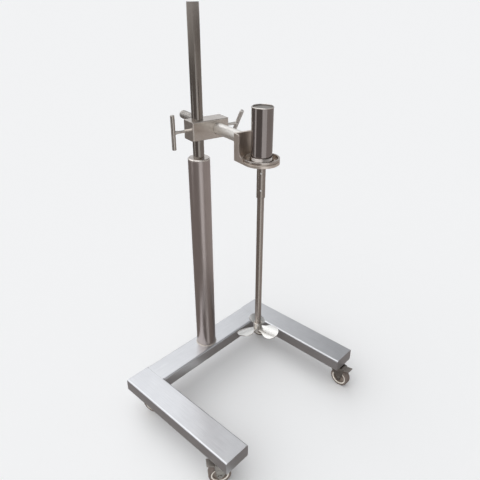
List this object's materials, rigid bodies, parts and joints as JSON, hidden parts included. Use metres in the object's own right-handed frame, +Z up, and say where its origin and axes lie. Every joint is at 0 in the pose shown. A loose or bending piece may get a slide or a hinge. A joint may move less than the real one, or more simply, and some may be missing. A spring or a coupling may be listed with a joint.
{
  "type": "pneumatic stirrer",
  "caption": "Air-driven stirrer: a vane motor with a long shaft and bladed impeller, carried by a clamped arm on a mast that stands on a mobile U-shaped base with braked casters.",
  "frame": {"origin": "on the floor under the column's axis", "axes": "+Z up along the column, X along the crossbar, the legs run towards -Y"},
  "size_m": [0.7454, 0.7211, 1.418],
  "materials": {
    "base_steel": "satin brushed stainless steel",
    "tube_steel": "polished stainless tube",
    "clamp_steel": "satin machined stainless steel",
    "handle_steel": "turned stainless steel",
    "polished_steel": "polished stainless steel",
    "impeller_steel": "polished stainless steel",
    "zinc_steel": "zinc-plated pressed steel",
    "screw_steel": "plain stainless steel",
    "wheel_nylon": "cream moulded nylon",
    "tyre_rubber": "grey-brown rubber",
    "pedal_steel": "black coated pressed steel",
    "bush_plastic": "black acetal",
    "pad_brass": "turned brass",
    "motor_iron": "machined grey iron",
    "ground_steel": "ground hardened steel",
    "vane_composite": "fibre-reinforced resin",
    "seal_rubber": "nitrile rubber",
    "silencer_bronze": "sintered bronze"
  },
  "bodies": {
    "stand": {"crossbar": "base_steel", "left_leg": "base_steel", "right_leg": "base_steel", "leg_end_caps": "base_steel", "column": "tube_steel", "column_cap": "tube_steel", "mast": "tube_steel", "mast_plug": "bush_plastic", "mast_foot_bush": "bush_plastic", "caster_plates": "zinc_steel", "caster_bolts": "screw_steel"},
    "mast_bush": {"mast_liner": "bush_plastic"},
    "clamp": {"clamp_block": "clamp_steel"},
    "mast_pad": {"mast_pad": "pad_brass"},
    "mast_screw": {"mast_screw": "handle_steel", "mast_tbar": "handle_steel"},
    "arm_pad": {"arm_pad": "pad_brass"},
    "arm_screw": {"arm_screw": "handle_steel", "arm_tbar": "handle_steel"},
    "arm_bush": {"arm_liner": "bush_plastic"},
    "arm": {"arm_rod": "clamp_steel", "motor_bracket": "clamp_steel", "foot_ring": "polished_steel", "foot_screws": "screw_steel", "motor_cover": "polished_steel", "motor_cap": "polished_steel", "lower_end_plate": "motor_iron", "upper_end_plate": "motor_iron", "lower_bearing": "ground_steel", "upper_bearing": "ground_steel", "shaft_seal": "seal_rubber", "stator_liner": "motor_iron", "stator_screws": "screw_steel", "air_inlet_socket": "polished_steel", "exhaust_silencer": "silencer_bronze"},
    "spindle": {"rotor": "ground_steel", "vanes": "vane_composite", "coupling": "polished_steel", "set_screws": "screw_steel", "stirrer_shaft": "polished_steel", "impeller_hub": "impeller_steel", "impeller_blades": "impeller_steel"},
    "fork_lf": {"fork_lf": "zinc_steel"},
    "wheel_lf": {"wheel_lf": "wheel_nylon", "tyre_lf": "tyre_rubber"},
    "pedal_lf": {"pedal_lf": "pedal_steel"},
    "fork_rf": {"fork_rf": "zinc_steel"},
    "wheel_rf": {"wheel_rf": "wheel_nylon", "tyre_rf": "tyre_rubber"},
    "pedal_rf": {"pedal_rf": "pedal_steel"},
    "fork_lr": {"fork_lr": "zinc_steel"},
    "wheel_lr": {"wheel_lr": "wheel_nylon", "tyre_lr": "tyre_rubber"},
    "pedal_lr": {"pedal_lr": "pedal_steel"},
    "fork_rr": {"fork_rr": "zinc_steel"},
    "wheel_rr": {"wheel_rr": "wheel_nylon", "tyre_rr": "tyre_rubber"},
    "pedal_rr": {"pedal_rr": "pedal_steel"}
  },
  "joints": [
    {"name": "height_slide", "type": "slide", "parent": "stand", "child": "mast_bush", "axis": [0, 0, 1], "range_m": [-0.055, 0.32]},
    {"name": "head_swivel", "type": "hinge", "parent": "mast_bush", "child": "clamp", "pos_m": [0, 0, 1.04], "axis": [0, 0, 1], "range_deg": [-180, 180]},
    {"name": "mast_pad_slide", "type": "slide", "parent": "clamp", "child": "mast_pad", "axis": [-0.9744, 0.225, 0], "range_m": [0, 0.0036]},
    {"name": "mast_screw_turn", "type": "hinge", "parent": "mast_pad", "child": "mast_screw", "pos_m": [-0.08769, 0.02025, 1.04], "axis": [-0.9744, 0.225, 0], "range_deg": [0, 720]},
    {"name": "arm_pad_slide", "type": "slide", "parent": "clamp", "child": "arm_pad", "axis": [0.9744, -0.225, 0], "range_m": [0, 0.0036]},
    {"name": "arm_screw_turn", "type": "hinge", "parent": "arm_pad", "child": "arm_screw", "pos_m": [0.15298, -0.03532, 1.04], "axis": [0.9744, -0.225, 0], "range_deg": [0, 720]},
    {"name": "arm_roll", "type": "hinge", "parent": "clamp", "child": "arm_bush", "pos_m": [0.06041, -0.01395, 1.04], "axis": [-0.225, -0.9744, 0], "range_deg": [-45, 45]},
    {"name": "arm_reach", "type": "slide", "parent": "arm_bush", "child": "arm", "axis": [-0.225, -0.9744, 0], "range_m": [-0.14, 0.085]},
    {"name": "stirrer_spin", "type": "hinge", "parent": "arm", "child": "spindle", "pos_m": [-0.00145, -0.2819, 1.04], "axis": [0, 0, 1], "continuous": true},
    {"name": "swivel_lf", "type": "hinge", "parent": "stand", "child": "fork_lf", "pos_m": [-0.3135, -0.4365, 0.09], "axis": [0, 0, 1], "continuous": true},
    {"name": "wheel_spin_lf", "type": "hinge", "parent": "fork_lf", "child": "wheel_lf", "pos_m": [-0.33906, -0.41724, 0.038], "axis": [-0.6018, -0.7986, 0], "continuous": true},
    {"name": "pedal_press_lf", "type": "hinge", "parent": "fork_lf", "child": "pedal_lf", "pos_m": [-0.34704, -0.41122, 0.0835], "axis": [-0.6018, -0.7986, 0], "range_deg": [0, 22]},
    {"name": "swivel_rf", "type": "hinge", "parent": "stand", "child": "fork_rf", "pos_m": [0.3135, -0.4365, 0.09], "axis": [0, 0, 1], "continuous": true},
    {"name": "wheel_spin_rf", "type": "hinge", "parent": "fork_rf", "child": "wheel_rf", "pos_m": [0.3135, -0.4685, 0.038], "axis": [1, 0, 0], "continuous": true},
    {"name": "pedal_press_rf", "type": "hinge", "parent": "fork_rf", "child": "pedal_rf", "pos_m": [0.3135, -0.4785, 0.0835], "axis": [1, 0, 0], "range_deg": [0, 22]},
    {"name": "swivel_lr", "type": "hinge", "parent": "stand", "child": "fork_lr", "pos_m": [-0.3135, 0.0115, 0.09], "axis": [0, 0, 1], "continuous": true},
    {"name": "wheel_spin_lr", "type": "hinge", "parent": "fork_lr", "child": "wheel_lr", "pos_m": [-0.30256, -0.01857, 0.038], "axis": [0.9397, 0.342, 0], "continuous": true},
    {"name": "pedal_press_lr", "type": "hinge", "parent": "fork_lr", "child": "pedal_lr", "pos_m": [-0.29914, -0.02797, 0.0835], "axis": [0.9397, 0.342, 0], "range_deg": [0, 22]},
    {"name": "swivel_rr", "type": "hinge", "parent": "stand", "child": "fork_rr", "pos_m": [0.3135, 0.0115, 0.09], "axis": [0, 0, 1], "continuous": true},
    {"name": "wheel_spin_rr", "type": "hinge", "parent": "fork_rr", "child": "wheel_rr", "pos_m": [0.32652, -0.01773, 0.038], "axis": [0.9135, 0.4067, 0], "continuous": true},
    {"name": "pedal_press_rr", "type": "hinge", "parent": "fork_rr", "child": "pedal_rr", "pos_m": [0.33058, -0.02687, 0.0835], "axis": [0.9135, 0.4067, 0], "range_deg": [0, 22]}
  ],
  "couplings": [
    {"joint": "mast_pad_slide", "follows": "mast_screw_turn", "m_per_rad": 0.00027852},
    {"joint": "arm_pad_slide", "follows": "arm_screw_turn", "m_per_rad": 0.00027852}
  ]
}
